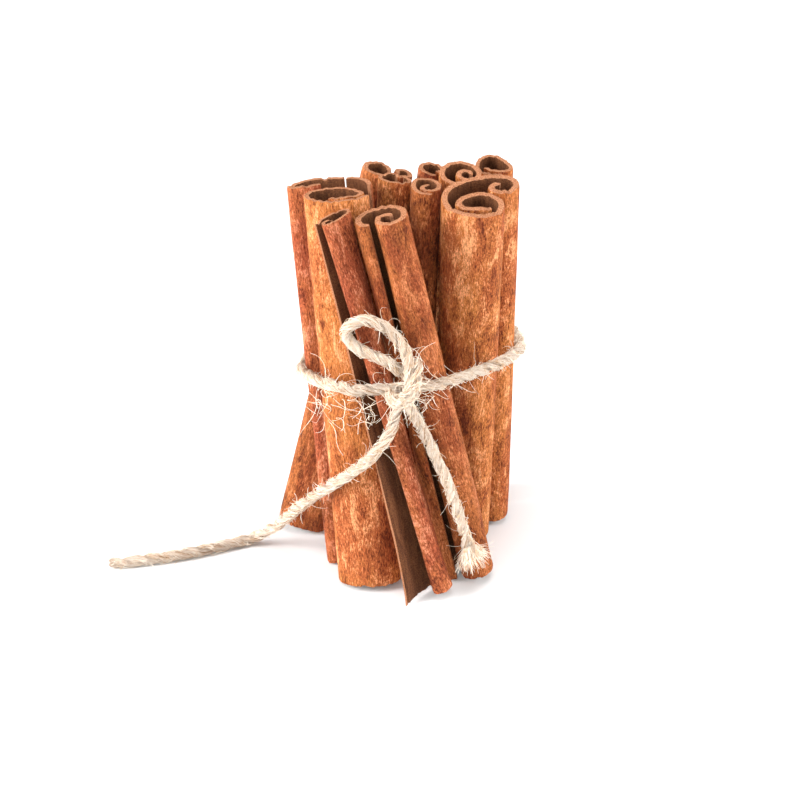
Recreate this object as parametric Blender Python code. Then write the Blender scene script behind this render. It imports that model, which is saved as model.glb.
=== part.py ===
"""Bundle of eleven cinnamon quills, stood on end and tied round the middle with jute twine.

Metres, +Z up. The quills stand on z = 0 and the origin is under the middle of the bundle.
A quill is one sheet of bark: its section is a chain of bends, given from one free edge of
the sheet to the other, and the sheet runs straight from the section at the foot to the
section at the head. The ends are cut square to the quill, so a leaning quill stands on the
lowest point of its rim.
"""
import math
from dataclasses import dataclass

import bmesh
import bpy
from mathutils import Matrix, Vector

QUILL_LENGTH = 0.0780     # usual cut length of a quill
BARK = 0.0011             # usual thickness of the bark
FACET = 24.0              # degrees of bend to each facet of a section
STATIONS = (0, 1 / 3, 2 / 3, 1)  # shares of a quill's length where its section is set out
GAP = 0.0003              # clearance between pieces that touch
TWINE = 0.0022            # diameter of the twine
TIE_HEIGHT = 0.0415       # height of the tie at the middle of the bundle
TIE_RISE = (0.059, -0.234)  # how the tie's height changes to the right and to the back
TIE_SIDES = 24            # straight lengths of twine in the tie
CORD_STEP = 2.4 * TWINE   # spacing of the points along the free twine
KNOT_X = 0.0006           # sideways place of the knot, on the front of the tie
KNOT_SIZE = (0.0046, 0.0040, 0.0082)
KNOT_LIFT = 0.0012        # middle of the knot above the tie
CRACK_AT = (0.0035, 0.0022)  # split in the back wall of the flat quill, across its head
CRACK_WIDTH = 0.0007
CRACK_DEPTH = 0.0160

# Routes of the free twine: the bow's one loop, the long tail and the short tail.
LOOP_ROUTE = (
    (0.0018, -0.0178, 0.0522), (0.0009, -0.0172, 0.0540), (-0.0012, -0.0164, 0.0565),
    (-0.0037, -0.0165, 0.0586), (-0.0065, -0.0170, 0.0598), (-0.0087, -0.0168, 0.0589),
    (-0.0099, -0.0164, 0.0571), (-0.0091, -0.0165, 0.0552), (-0.0072, -0.0170, 0.0537),
    (-0.0048, -0.0175, 0.0526), (-0.0026, -0.0178, 0.0519), (-0.0010, -0.0179, 0.0522))
LONG_TAIL_ROUTE = (
    (-0.0007, -0.0177, 0.0413), (-0.0011, -0.0181, 0.0393), (-0.0019, -0.0190, 0.0371),
    (-0.0050, -0.0197, 0.0327), (-0.0087, -0.0171, 0.0276), (-0.0133, -0.0134, 0.0219),
    (-0.0182, -0.0090, 0.0154), (-0.0229, -0.0034, 0.0074), (-0.0262, -0.0008, 0.0034),
    (-0.0295, -0.0002, 0.0013), (-0.0353, -0.0026, 0.0012), (-0.0413, -0.0050, 0.0012),
    (-0.0474, -0.0067, 0.0012), (-0.0530, -0.0080, 0.0012), (-0.0559, -0.0081, 0.0012))
SHORT_TAIL_ROUTE = (
    (0.0020, -0.0177, 0.0413), (0.0027, -0.0172, 0.0395), (0.0046, -0.0163, 0.0352),
    (0.0065, -0.0161, 0.0302), (0.0085, -0.0162, 0.0254), (0.0098, -0.0162, 0.0213),
    (0.0112, -0.0162, 0.0167), (0.0125, -0.0162, 0.0119), (0.0135, -0.0161, 0.0084))


@dataclass(frozen=True)
class Section:
    """Outline of a rolled sheet across the quill, as offsets from the quill's axis."""

    start: tuple            # one free edge of the sheet
    heading: float          # direction in which the sheet leaves that edge, in degrees
    bends: tuple            # (radius, turn in degrees), turning left where positive


@dataclass(frozen=True)
class Quill:
    """One stick: where its axis meets the floor and ends, and how its bark is rolled."""

    name: str
    foot: tuple
    head: tuple
    at_head: Section
    colour: tuple
    at_foot: Section = None
    length: float = QUILL_LENGTH
    bark: float = BARK
    closing: float = 1.0    # below 1, the section takes its head's shape sooner


OVAL = Section((0.0063, -0.0015), 226, (
    (0.0073, -70), (0.0090, -15), (0.0027, -125), (0.0076, -65), (0.0011, -105), (0.0080, -40)))
TROUGH = Section((-0.0009, 0.0003), 210, (
    (0.0082, -35), (0.0009, -135), (0.0098, -50), (0.0139, -20), (0.0036, -65)))
TWIN = Section((0.0004, -0.0002), 49, (
    (0.0022, 130), (0.0025, 160), (0.0140, 20), (0.0019, 105), (0.0012, 185)))
SMALL_TWIN = Section((0.0003, 0.0002), 62, (
    (0.0012, 110), (0.0018, 155), (0.0052, 40), (0.0012, 130), (0.0008, 55)))
FLANGED = Section((-0.0041, -0.0025), 178, (
    (0.0019, -50), (0.0029, -110), (0.0096, -15), (0.0039, -95), (0.0028, -90),
    (0.0022, -105), (0.0013, -150)))
FLAP_SHUT = Section((-0.0036, -0.0015), 54, (
    (0.0095, -35), (0.0012, -135), (0.0061, -40), (0.0011, -90), (0.0007, -95), (0.0030, 25)))
FLAP_OPEN = Section((-0.0068, -0.0063), 66, (
    (0.0140, -20), (0.0081, -30), (0.0020, -120), (0.0033, -40), (0.0012, -110), (0.0014, -60)))
CURL = Section((0.0009, -0.0032), 191, (
    (0.0027, -85), (0.0061, -25), (0.0021, -125), (0.0036, -60), (0.0016, -105), (0.0013, -150)))
NARROW = Section((0.0008, -0.0024), 191, (
    (0.0024, -150), (0.0020, -120), (0.0011, -110)))
HOODED = Section((0.0008, -0.0034), 194, (
    (0.0035, -140), (0.0035, -140), (0.0021, -125), (0.0015, -140), (0.0009, -120)))
TUBE = Section((0.0016, -0.0033), 188, (
    (0.0062, -30), (0.0021, -55), (0.0051, -45), (0.0021, -100), (0.0080, -30),
    (0.0011, -105), (0.0060, -40)))
BROAD_TWIN = Section((0.0025, -0.0036), 204, (
    (0.0065, -40), (0.0019, -109), (0.0042, -106), (0.0031, -108), (0.0069, -42),
    (0.0054, -119), (0.0110, -54), (0.0022, -81), (0.0025, -136), (0.0012, -151)))
BROAD_TWIN_FOOT = Section((0.0012, -0.0031), 204, (
    (0.0048, -40), (0.0016, -109), (0.0035, -106), (0.0027, -108), (0.0062, -42),
    (0.0047, -119), (0.0110, -54), (0.0022, -81), (0.0025, -136), (0.0012, -151)))

TAN = (0.52, 0.25, 0.11)
RED_BROWN = (0.38, 0.14, 0.07)
BROWN = (0.42, 0.18, 0.08)
JUTE = (0.74, 0.62, 0.45)


def turned(section, angle):
    """The same section, turned about the quill's axis by an angle in degrees."""
    x, y = section.start
    cosine = math.cos(math.radians(angle))
    sine = math.sin(math.radians(angle))
    start = (x * cosine - y * sine, x * sine + y * cosine)
    return Section(start, section.heading + angle, section.bends)


QUILLS = (
    Quill("quill_flat", (-0.0070, -0.0062), (-0.0137, 0.0007), TROUGH, RED_BROWN, length=0.0785),
    Quill("quill_oval", (-0.0063, -0.0127), (-0.0121, -0.0038), OVAL, TAN, length=0.0789,
          bark=0.0010),
    Quill("quill_rear_left", (-0.0196, 0.0058), (-0.0024, 0.0093), turned(TWIN, 24), BROWN,
          at_foot=TWIN, length=0.0777),
    Quill("quill_inner_twin", (-0.0054, 0.0012), (-0.0009, 0.0044), SMALL_TWIN, TAN,
          length=0.0780, bark=0.0008),
    Quill("quill_flanged", (0.0150, -0.0103), (-0.0016, -0.0113), FLANGED, BROWN, length=0.0790,
          bark=0.0013),
    Quill("quill_open_flap", (0.0078, -0.0151), (-0.0118, -0.0107), FLAP_SHUT, RED_BROWN,
          at_foot=FLAP_OPEN, length=0.0791, bark=0.0007, closing=0.6),
    Quill("quill_inner_curl", (0.0022, -0.0016), (0.0049, -0.0002), CURL, BROWN, length=0.0786,
          bark=0.0010),
    Quill("quill_back_middle", (-0.0030, 0.0127), (0.0059, 0.0119), NARROW, RED_BROWN,
          length=0.0762, bark=0.0010),
    Quill("quill_back_hooded", (0.0080, 0.0165), (0.0112, 0.0064), HOODED, TAN),
    Quill("quill_back_tall", (0.0174, 0.0178), (0.0173, 0.0120), TUBE, TAN, length=0.0766,
          bark=0.0009),
    Quill("quill_broad_twin", (0.0135, 0.0062), (0.0139, -0.0051), BROAD_TWIN, TAN,
          at_foot=BROAD_TWIN_FOOT, length=0.0790, bark=0.0013),
)


def new_object(name, mesh, colour, roughness):
    """Link an object for the mesh, with a Principled material of its own."""
    material = bpy.data.materials.new(name)
    material.use_nodes = True
    shader = material.node_tree.nodes["Principled BSDF"]
    shader.inputs["Base Color"].default_value = (*colour, 1.0)
    shader.inputs["Roughness"].default_value = roughness
    shader.inputs["Metallic"].default_value = 0.0
    mesh.materials.append(material)
    piece = bpy.data.objects.new(name, mesh)
    bpy.context.collection.objects.link(piece)
    return piece


def facets(section):
    """Number of facets that each bend of a section takes."""
    return [max(1, math.ceil(abs(turn) / FACET)) for _, turn in section.bends]


def sheet_line(section, counts):
    """Middle line of the sheet in the section, one point at each facet's corner."""
    point = Vector(section.start)
    direction = math.radians(section.heading)
    line = [point.copy()]
    for (radius, turn), count in zip(section.bends, counts):
        step = math.radians(turn) / count
        chord = 2 * radius * math.sin(abs(step) / 2)
        for _ in range(count):
            point += chord * Vector((math.cos(direction + step / 2), math.sin(direction + step / 2)))
            direction += step
            line.append(point.copy())
    return line


def sheet_faces(line, thickness):
    """The line's two sides, half a thickness off it: (left, right) at each point."""
    sides = []
    for index, point in enumerate(line):
        before = line[max(index - 1, 0)]
        after = line[min(index + 1, len(line) - 1)]
        along = (after - before).normalized()
        across = Vector((-along.y, along.x)) * thickness / 2
        sides.append((point + across, point - across))
    return sides


def quill_axis(quill):
    """The quill's foot, its direction, and two directions across it."""
    run = Vector(quill.head) - Vector(quill.foot)
    rise = math.sqrt(quill.length ** 2 - run.length_squared)
    direction = Vector((run.x, run.y, rise)).normalized()
    sideways = (Vector((1, 0, 0)) - direction * direction.x).normalized()
    return Vector((*quill.foot, 0)), direction, sideways, direction.cross(sideways)


def quill_rings(quill, stations):
    """Corners of the section at each station, a share of the length, from foot to head."""
    at_foot = quill.at_foot or quill.at_head
    counts = [max(pair) for pair in zip(facets(at_foot), facets(quill.at_head))]
    low_line = sheet_line(at_foot, counts)
    high_line = sheet_line(quill.at_head, counts)
    foot, direction, sideways, away = quill_axis(quill)
    rings = []
    for share in stations:
        closed = share ** quill.closing
        line = [low.lerp(high, closed) for low, high in zip(low_line, high_line)]
        centre = foot + direction * quill.length * share
        rings.append([tuple(centre + sideways * side.x + away * side.y for side in pair)
                      for pair in sheet_faces(line, quill.bark)])
    lift = -min(corner.z for pair in rings[0] for corner in pair)
    return [[tuple(corner + Vector((0, 0, lift)) for corner in pair) for pair in ring]
            for ring in rings]


def make_quill(quill):
    """Solid of one quill: the strip across its foot, extruded section by section."""
    rings = quill_rings(quill, STATIONS)
    shape = bmesh.new()
    pairs = [[shape.verts.new(corner) for corner in pair] for pair in rings[0]]
    for (left, right), (next_left, next_right) in zip(pairs, pairs[1:]):
        shape.faces.new((left, right, next_right, next_left))
    top = shape.faces[:]
    for lower, upper in zip(rings, rings[1:]):
        target = {tuple(vert_at.to_tuple(7)): vert_to
                  for low, high in zip(lower, upper) for vert_at, vert_to in zip(low, high)}
        grown = bmesh.ops.extrude_face_region(shape, geom=top)["geom"]
        if lower is not rings[0]:
            bmesh.ops.delete(shape, geom=top, context="FACES")
        top = [item for item in grown if isinstance(item, bmesh.types.BMFace)]
        for vert in {vert for face in top for vert in face.verts}:
            vert.co = target[vert.co.to_tuple(7)]
    bmesh.ops.recalc_face_normals(shape, faces=shape.faces)
    mesh = bpy.data.meshes.new(quill.name)
    shape.to_mesh(mesh)
    shape.free()
    mesh.shade_smooth()
    mesh.set_sharp_from_angle(angle=math.radians(40))
    return new_object(quill.name, mesh, quill.colour, 0.75)


def crack_cutter(quill):
    """Wedge that splits the wall at the head of the quill, widest at the rim."""
    foot, direction, sideways, away = quill_axis(quill)
    rim = foot + direction * quill.length + sideways * CRACK_AT[0] + away * CRACK_AT[1]
    shape = bmesh.new()
    bmesh.ops.create_cone(shape, cap_ends=True, segments=4, radius1=0.02 * CRACK_WIDTH,
                          radius2=CRACK_WIDTH / math.sqrt(2), depth=CRACK_DEPTH)
    bmesh.ops.rotate(shape, verts=shape.verts, matrix=Matrix.Rotation(math.radians(45), 3, "Z"))
    bmesh.ops.scale(shape, verts=shape.verts, vec=(1, 6, 1))
    turn = Matrix((sideways, away, direction)).transposed()
    bmesh.ops.rotate(shape, verts=shape.verts, matrix=turn)
    bmesh.ops.translate(shape, verts=shape.verts, vec=rim - direction * CRACK_DEPTH * 0.4)
    mesh = bpy.data.meshes.new("crack_cutter")
    shape.to_mesh(mesh)
    shape.free()
    cutter = bpy.data.objects.new("crack_cutter", mesh)
    bpy.context.collection.objects.link(cutter)
    cutter.hide_render = True
    cutter.display_type = "WIRE"
    return cutter


def crack_quill(piece, quill):
    """Cut the lengthwise crack into the flat quill."""
    cut = piece.modifiers.new("crack", "BOOLEAN")
    cut.operation = "DIFFERENCE"
    cut.solver = "EXACT"
    cut.object = crack_cutter(quill)


def tie_height(x, y):
    """Height of the tie's sloping plane above a place on the floor."""
    return TIE_HEIGHT + TIE_RISE[0] * x + TIE_RISE[1] * y


def plan_at_tie(offset):
    """Plan of the bundle a little above or below the tie's plane: every lengthwise edge."""
    plan = []
    for quill in QUILLS:
        rings = quill_rings(quill, STATIONS)
        for lower, upper in zip(rings, rings[1:]):
            for low_pair, high_pair in zip(lower, upper):
                for low, high in zip(low_pair, high_pair):
                    below = tie_height(low.x, low.y) + offset - low.z
                    above = high.z - tie_height(high.x, high.y) - offset
                    if below >= 0 and above >= 0:
                        plan.append(low.lerp(high, below / (below + above)))
    return plan


def evenly(points, step):
    """Points at even spacing along a chain of points, both ends kept."""
    distances = [0.0]
    for before, after in zip(points, points[1:]):
        distances.append(distances[-1] + (after - before).length)
    count = max(2, round(distances[-1] / step))
    even = []
    leg = 0
    for index in range(count + 1):
        distance = distances[-1] * index / count
        while leg < len(points) - 2 and distances[leg + 1] < distance:
            leg += 1
        share = (distance - distances[leg]) / (distances[leg + 1] - distances[leg])
        even.append(points[leg].lerp(points[leg + 1], share))
    return even


def tie_corners():
    """Corners of the tie's line, drawn tight round the bundle from the left, front first."""
    directions = []
    for index in range(TIE_SIDES):
        angle = math.pi + 2 * math.pi * index / TIE_SIDES
        directions.append(Vector((math.cos(angle), math.sin(angle), 0)))
    reaches = [0.0] * TIE_SIDES
    for lean in (-90, -45, 0, 45, 90):
        plan = plan_at_tie(TWINE / 2 * math.sin(math.radians(lean)))
        stand_off = TWINE / 2 * math.cos(math.radians(lean)) + GAP
        for index, outward in enumerate(directions):
            reach = max(map(outward.dot, plan)) + stand_off
            reaches[index] = max(reaches[index], reach)
    corners = []
    for index, outward in enumerate(directions):
        after = directions[(index + 1) % TIE_SIDES]
        reach_after = reaches[(index + 1) % TIE_SIDES]
        turn = outward.cross(after).z
        x = (reaches[index] * after.y - reach_after * outward.y) / turn
        y = (reach_after * outward.x - reaches[index] * after.x) / turn
        corners.append(Vector((x, y, tie_height(x, y))))
    return corners


def tie_route():
    """Line of the tie from the knot's right side to its left, and where it meets the knot."""
    corners = tie_corners()
    clear = KNOT_SIZE[0] / 2 + 1.5 * GAP
    cuts = []
    for x in (KNOT_X - clear, KNOT_X, KNOT_X + clear):
        leg = next(index for index, corner in enumerate(corners) if corner.x > x)
        before, after = corners[leg - 1], corners[leg]
        cuts.append((leg, before.lerp(after, (x - before.x) / (after.x - before.x))))
    (left, end), (_, crossing), (right, start) = cuts
    return [start] + corners[right:] + corners[:left] + [end], crossing


def smooth_route(corners):
    """Points at even spacing on a smooth curve through the route's own points."""
    chain = [Vector(corner) for corner in corners]
    ends = [2 * chain[0] - chain[1]] + chain + [2 * chain[-1] - chain[-2]]
    curve = []
    for before, start, end, after in zip(ends, ends[1:], ends[2:], ends[3:]):
        for index in range(8):
            t = index / 8
            curve.append(0.5 * (2 * start + (end - before) * t
                                + (2 * before - 5 * start + 4 * end - after) * t ** 2
                                + (3 * start - before - 3 * end + after) * t ** 3))
    return evenly(curve + [chain[-1]], CORD_STEP)


def make_cord(name, route):
    """Plain round twine along a route, with closed ends."""
    curve = bpy.data.curves.new(name, "CURVE")
    curve.dimensions = "3D"
    curve.bevel_depth = TWINE / 2
    curve.bevel_resolution = 2
    curve.use_fill_caps = True
    spline = curve.splines.new("POLY")
    spline.points.add(len(route) - 1)
    for point, spot in zip(spline.points, route):
        point.co = (*spot, 1.0)
    return new_object(name, curve, JUTE, 0.95)


def make_knot(centre):
    """Solid of the knot: a block the size of the crossed turns, well rounded."""
    shape = bmesh.new()
    bmesh.ops.create_cube(shape, size=1.0)
    bmesh.ops.scale(shape, verts=shape.verts, vec=KNOT_SIZE)
    bmesh.ops.translate(shape, verts=shape.verts, vec=centre)
    bmesh.ops.bevel(shape, geom=shape.edges, offset=0.0009, offset_type="OFFSET", segments=2,
                    profile=0.5, affect="EDGES", material=-1)
    mesh = bpy.data.meshes.new("twine_knot")
    shape.to_mesh(mesh)
    shape.free()
    mesh.shade_smooth()
    return new_object("twine_knot", mesh, JUTE, 0.95)


def main():
    """Build the bundle: the quills, then the twine that ties them."""
    for thing in list(bpy.data.objects):
        bpy.data.objects.remove(thing)
    for quill in QUILLS:
        piece = make_quill(quill)
        if quill.name == "quill_flat":
            crack_quill(piece, quill)
    route, crossing = tie_route()
    make_cord("twine_ring", route)
    make_knot(Vector((KNOT_X, crossing.y, crossing.z + KNOT_LIFT)))
    make_cord("twine_loop", smooth_route(LOOP_ROUTE))
    make_cord("twine_tail_long", smooth_route(LONG_TAIL_ROUTE))
    make_cord("twine_tail_short", smooth_route(SHORT_TAIL_ROUTE))


main()
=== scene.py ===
"""Bundle of cinnamon quills tied with jute twine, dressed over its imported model.

Every quill is a rolled sheet of bark with broken rims and every length of twine is two
plies laid round each other, with its loose fibres. Metres, +Z up; the tables of places are
in tenths of a millimetre, and places across a sheet of bark in millimetres.
"""
import logging
import math
import random
from dataclasses import dataclass
from enum import Enum

import bmesh
import bpy
from bpy.types import ID, Material, Node, NodeSocket, Object
from mathutils import Matrix, Vector, noise


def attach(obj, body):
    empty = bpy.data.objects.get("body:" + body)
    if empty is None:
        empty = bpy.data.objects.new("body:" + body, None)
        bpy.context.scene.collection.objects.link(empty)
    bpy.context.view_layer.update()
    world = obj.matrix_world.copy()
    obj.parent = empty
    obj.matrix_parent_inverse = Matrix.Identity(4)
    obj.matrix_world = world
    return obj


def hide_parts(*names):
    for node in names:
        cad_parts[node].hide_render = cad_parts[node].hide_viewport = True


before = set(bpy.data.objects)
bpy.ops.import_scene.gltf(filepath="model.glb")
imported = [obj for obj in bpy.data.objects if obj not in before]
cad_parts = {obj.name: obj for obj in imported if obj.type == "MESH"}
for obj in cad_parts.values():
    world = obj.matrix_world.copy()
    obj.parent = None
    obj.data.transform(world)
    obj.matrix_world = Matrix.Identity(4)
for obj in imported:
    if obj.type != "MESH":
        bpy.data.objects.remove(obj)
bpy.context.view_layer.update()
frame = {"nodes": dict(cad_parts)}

LOG = logging.getLogger("cinnamon")

TWINE = 0.0022  # diameter of the twine
PLY = 0.00064  # radius of each of its two plies
PLY_SIDES = 14
PLY_WANDER = (0.35, 0.12, 260)  # how the lay varies: radians, share outward, waves per m
PLY_LUMPS = (0.20, 0.12)  # how much a ply's radius varies round it and along it
PLY_LUMP_WAVES = (1.4, 900, 300)  # fineness of the lumps: round, along, and slow ones along
PLY_ROLL = 0.16  # radians that a ply turns about its own middle at each ring
LAY_LENGTH = 0.0072  # length of one full turn of the plies
TWINE_STEP = 0.00032  # spacing of the rings along a ply
TIE_HEIGHT = 0.0415  # height of the tie at the middle of the bundle
TIE_RISE = (0.059, -0.234)  # how the tie's height changes to the right and to the back
TIE_SIDES = 72  # directions in which the tie is drawn tight
TIE_BITE = 0.00008  # how far the tie sinks into the bark
TIE_CORNER_STEP = 0.0011  # spacing of the tie's own points
KNOT_X = 0.0006  # where the tie starts and ends, under the knot
TIE_LEANS = (-90, -45, 0, 45, 90)  # places round the twine that may touch, in degrees
SLIT_AT = (0.0035, 0.0022)  # split in the back wall of the flat quill, across its head
SLIT_DEPTH = 0.0140
SLIT_HALF_WIDTH = 0.24
FINE_FACET = 7.0  # degrees of bend to each column of a sheet
FINE_COLUMN = 0.00034  # width of a column of a sheet, at most
END_ROWS = (0.0, 0.00022, 0.0005, 0.0010, 0.0017, 0.0027, 0.0042)  # near a cut end
INNER_STEPS = 30  # equal steps between the rows near the two ends
CUT_WAVES = ((0.00026, 0.16, 0.0), (0.00026, 1.3, 7.0))  # a cut's waves: depth, per mm, layer
CHIPS = (0.0010, 0.62, 13.0, 0.25)  # its chips: the same, and below what noise it is whole
BARK_WAVES = (0.22, 38)  # fineness of the waves in a sheet, per mm across and per m along
WANDER = (0.00016, 0.00008)  # depth of its slow waves and of its fine ones
UNEVEN = (0.90, 0.16)  # share of the full thickness, and how much that varies
INNER_HALF = 1.28  # thickness of a sheet's inner half against its outer half
FREE_EDGE = (0.55, 0.45, 0.7)  # share kept at a free edge, the rest, and over what width
CUT_END = (0.80, 0.20, 0.4)  # the same at a cut end
CURVE_STEPS = 12  # points between two of a route's own points
TAPER_LENGTH = 0.005  # length over which a strand's end grows thinner
OPENING_LENGTH = 0.006  # length over which its plies part
LOOSE_PER_MM = (3.6, 0.50)  # short and long loose fibres to a millimetre of twine
LYING_PER_MM = 5.0  # fibres lying along the twine
LYING_REACH = (0.42, 0.53)  # how far out they lie, in diameters of the twine
ROOT_REACH = (0.25, 0.47)  # how far out the loose fibres' roots are
LEAN_ALONG = (0.4, 1.6)  # how much a loose fibre leaves along the twine
LEAN_OUT = (0.25, 0.9)  # how much it leaves outward
LEAN_ASIDE = 0.6  # how much it leaves sideways
SHORT_FIBRE = (0.0007, 0.0022)
SHORT_CURL = 1.2  # radians over its length, like every curl
LONG_FIBRE_FROM = 0.0025
LONG_CURL = (1.4, 4.6)
HEAP_CURL = (1.5, 4.0)
BRUSH_CURL = 0.7
FIBRE_RADIUS = (0.000036, 0.000068)
FIBRE_STEP = 0.00055  # spacing of the points along a loose fibre
PLY_FLOOR = 0.00005  # least height of a ply above the floor
FIBRE_FLOOR = 0.00008  # least height of a fibre above the floor
TENTHS = 10000  # tenths of a millimetre in a metre


def in_metres(*places: tuple) -> tuple:
    """Places given in tenths of a millimetre, in metres."""
    return tuple(tuple(part / TENTHS for part in place) for place in places)


LOOP_ROUTE = in_metres(
    (12, -192, 447), (19, -195, 478), (16, -184, 508), (8, -174, 540), (-12, -165, 565),
    (-37, -165, 586), (-65, -170, 598), (-87, -168, 589), (-99, -164, 571), (-91, -165, 552),
    (-72, -170, 537), (-48, -175, 526), (-26, -178, 517), (-6, -176, 500), (12, -170, 478))
LONG_TAIL_ROUTE = in_metres(
    (2, -172, 432), (-7, -177, 413), (-11, -181, 393), (-19, -190, 371), (-50, -197, 327),
    (-87, -171, 276), (-133, -134, 219), (-182, -90, 154), (-229, -34, 74), (-262, -8, 34),
    (-295, -2, 13), (-353, -26, 12), (-413, -50, 12), (-474, -67, 12), (-530, -80, 12),
    (-559, -81, 12))
SHORT_TAIL_ROUTE = in_metres(
    (10, -172, 432), (20, -177, 413), (27, -172, 395), (46, -163, 352), (65, -161, 302),
    (85, -162, 254), (98, -162, 213), (112, -162, 167), (125, -162, 119), (135, -161, 84))
KNOT_WRAP_ROUTE = in_metres(
    (22, -160, 512), (31, -179, 506), (29, -194, 490), (20, -201, 472), (9, -200, 456),
    (-4, -195, 446), (-15, -183, 445), (-21, -167, 450))
KNOT_BAND_ROUTE = in_metres(
    (32, -166, 466), (28, -184, 457), (17, -194, 447), (2, -197, 441), (-12, -191, 438),
    (-20, -176, 441))


class Tone(Enum):
    """Colour of a quill's bark."""

    TAN = "bark_tan"
    RED_BROWN = "bark_red_brown"
    BROWN = "bark_brown"


# ---- Shader expressions ----


@dataclass(frozen=True)
class Output:
    """What a node of a finish gives out, for other nodes to read."""

    nodes: "Nodes"
    socket: NodeSocket


class Value(Output):
    """A number in a finish, which Python expressions can be written with."""

    def maths(self, operation: str, *others: object) -> "Value":
        """Put this value first in a Math node.

        Args:
            operation: the Math node's operation.
            others: its other inputs, as numbers or values.

        Returns:
            The node's result.
        """
        made = self.nodes.place("ShaderNodeMath", {"operation": operation},
                                dict(enumerate((self, *others))))
        return Value(self.nodes, made.outputs[0])

    def __add__(self, other: object) -> "Value":
        """Sum of the two."""
        return self.maths("ADD", other)

    def __sub__(self, other: object) -> "Value":
        """This less the other."""
        return self.maths("SUBTRACT", other)

    def __mul__(self, other: object) -> "Value":
        """Product of the two."""
        return self.maths("MULTIPLY", other)

    __radd__ = __add__
    __rmul__ = __mul__

    def step(self, low: float, high: float) -> "Value":
        """Smooth rise from 0 at low to 1 at high.

        Args:
            low: value below which the result is 0.
            high: value above which it is 1.

        Returns:
            The eased value.
        """
        made = self.nodes.place("ShaderNodeMapRange", {"interpolation_type": "SMOOTHSTEP"},
                                {"Value": self, "From Min": low, "From Max": high})
        return Value(self.nodes, made.outputs[0])


class Place(Output):
    """A vector in a finish: where on the piece a pattern is read."""

    def noise(self, finer: tuple, detail: float, rough: float, distort: float = 0.0) -> Value:
        """Cloudy noise at the place, about 0.5 on average.

        Args:
            finer: how much finer the pattern is along each direction.
            detail: octaves of finer noise.
            rough: weight of the finer octaves.
            distort: how much the pattern is stirred.

        Returns:
            The noise.
        """
        scaled = self.nodes.place("ShaderNodeVectorMath", {"operation": "MULTIPLY"},
                                  {0: self, 1: finer})
        made = self.nodes.place("ShaderNodeTexNoise", None,
                                {"Vector": Place(self.nodes, scaled.outputs[0]),
                                 "Scale": 1.0, "Detail": detail, "Roughness": rough,
                                 "Distortion": distort})
        return Value(self.nodes, made.outputs[0])


class Colour(Output):
    """A colour in a finish."""

    def scaled(self, amount: Value) -> "Colour":
        """The colour made darker or lighter by an amount."""
        made = self.nodes.place("ShaderNodeVectorMath", {"operation": "SCALE"},
                                {0: self, 3: amount})
        return Colour(self.nodes, made.outputs[0])


class Nodes:
    """A material in the making: its node tree, and one method that places any node."""

    def __init__(self, name: str) -> None:
        """Start a material with a Principled shader.

        Args:
            name: the material's name.
        """
        self.material = bpy.data.materials.new(name)
        self.material.use_nodes = True
        self.tree = self.material.node_tree
        self.shader = self.tree.nodes["Principled BSDF"]

    def link(self, source: object, target: NodeSocket) -> None:
        """Feed a socket with a value, place or colour, or with a plain number or tuple."""
        if isinstance(source, Output):
            self.tree.links.new(source.socket, target)
        elif target.type == "RGBA":
            target.default_value = (*source, 1.0)
        else:
            target.default_value = source

    def place(self, kind: str, settings: dict | None = None,
              inputs: dict | None = None) -> Node:
        """Place a node.

        Args:
            kind: the node's type.
            settings: its properties.
            inputs: what feeds its sockets, by name or number.

        Returns:
            The node.
        """
        node = self.tree.nodes.new(kind)
        for key, setting in (settings or {}).items():
            setattr(node, key, setting)
        for key, source in (inputs or {}).items():
            self.link(source, node.inputs[key])
        return node

    def attribute(self, name: str) -> Node:
        """The node that reads an attribute of the mesh."""
        return self.place("ShaderNodeAttribute", {"attribute_name": name})

    def number(self, name: str) -> Value:
        """A number kept on the mesh."""
        return Value(self, self.attribute(name).outputs["Fac"])

    def vector(self, name: str) -> Place:
        """A vector kept on the mesh."""
        return Place(self, self.attribute(name).outputs["Vector"])

    def mix(self, low: Colour | tuple, high: Colour | tuple, share: Value) -> Colour:
        """A colour that goes from low to high as the share goes from 0 to 1."""
        made = self.place("ShaderNodeMix", {"data_type": "RGBA"}, {0: share, 6: low, 7: high})
        return Colour(self, made.outputs[2])

    def relief(self, height: Value, depth: float, strength: float = 1.0) -> None:
        """Raise the surface by a height.

        Args:
            height: the relief, from 0 to about 1.
            depth: how deep a height of 1 is, in metres.
            strength: share of the relief that shows.
        """
        bump = self.place("ShaderNodeBump", None,
                          {"Height": height, "Distance": depth, "Strength": strength})
        self.tree.links.new(bump.outputs[0], self.shader.inputs["Normal"])

    def finish(self, base: Colour | tuple, rough: Value | float, specular: float) -> Material:
        """Feed the shader and hand the material over.

        Args:
            base: its colour.
            rough: its roughness.
            specular: its specular level.

        Returns:
            The material.
        """
        self.link(base, self.shader.inputs["Base Color"])
        self.link(rough, self.shader.inputs["Roughness"])
        self.shader.inputs["Specular IOR Level"].default_value = specular
        return self.material


# ---- Finishes ----


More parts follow.
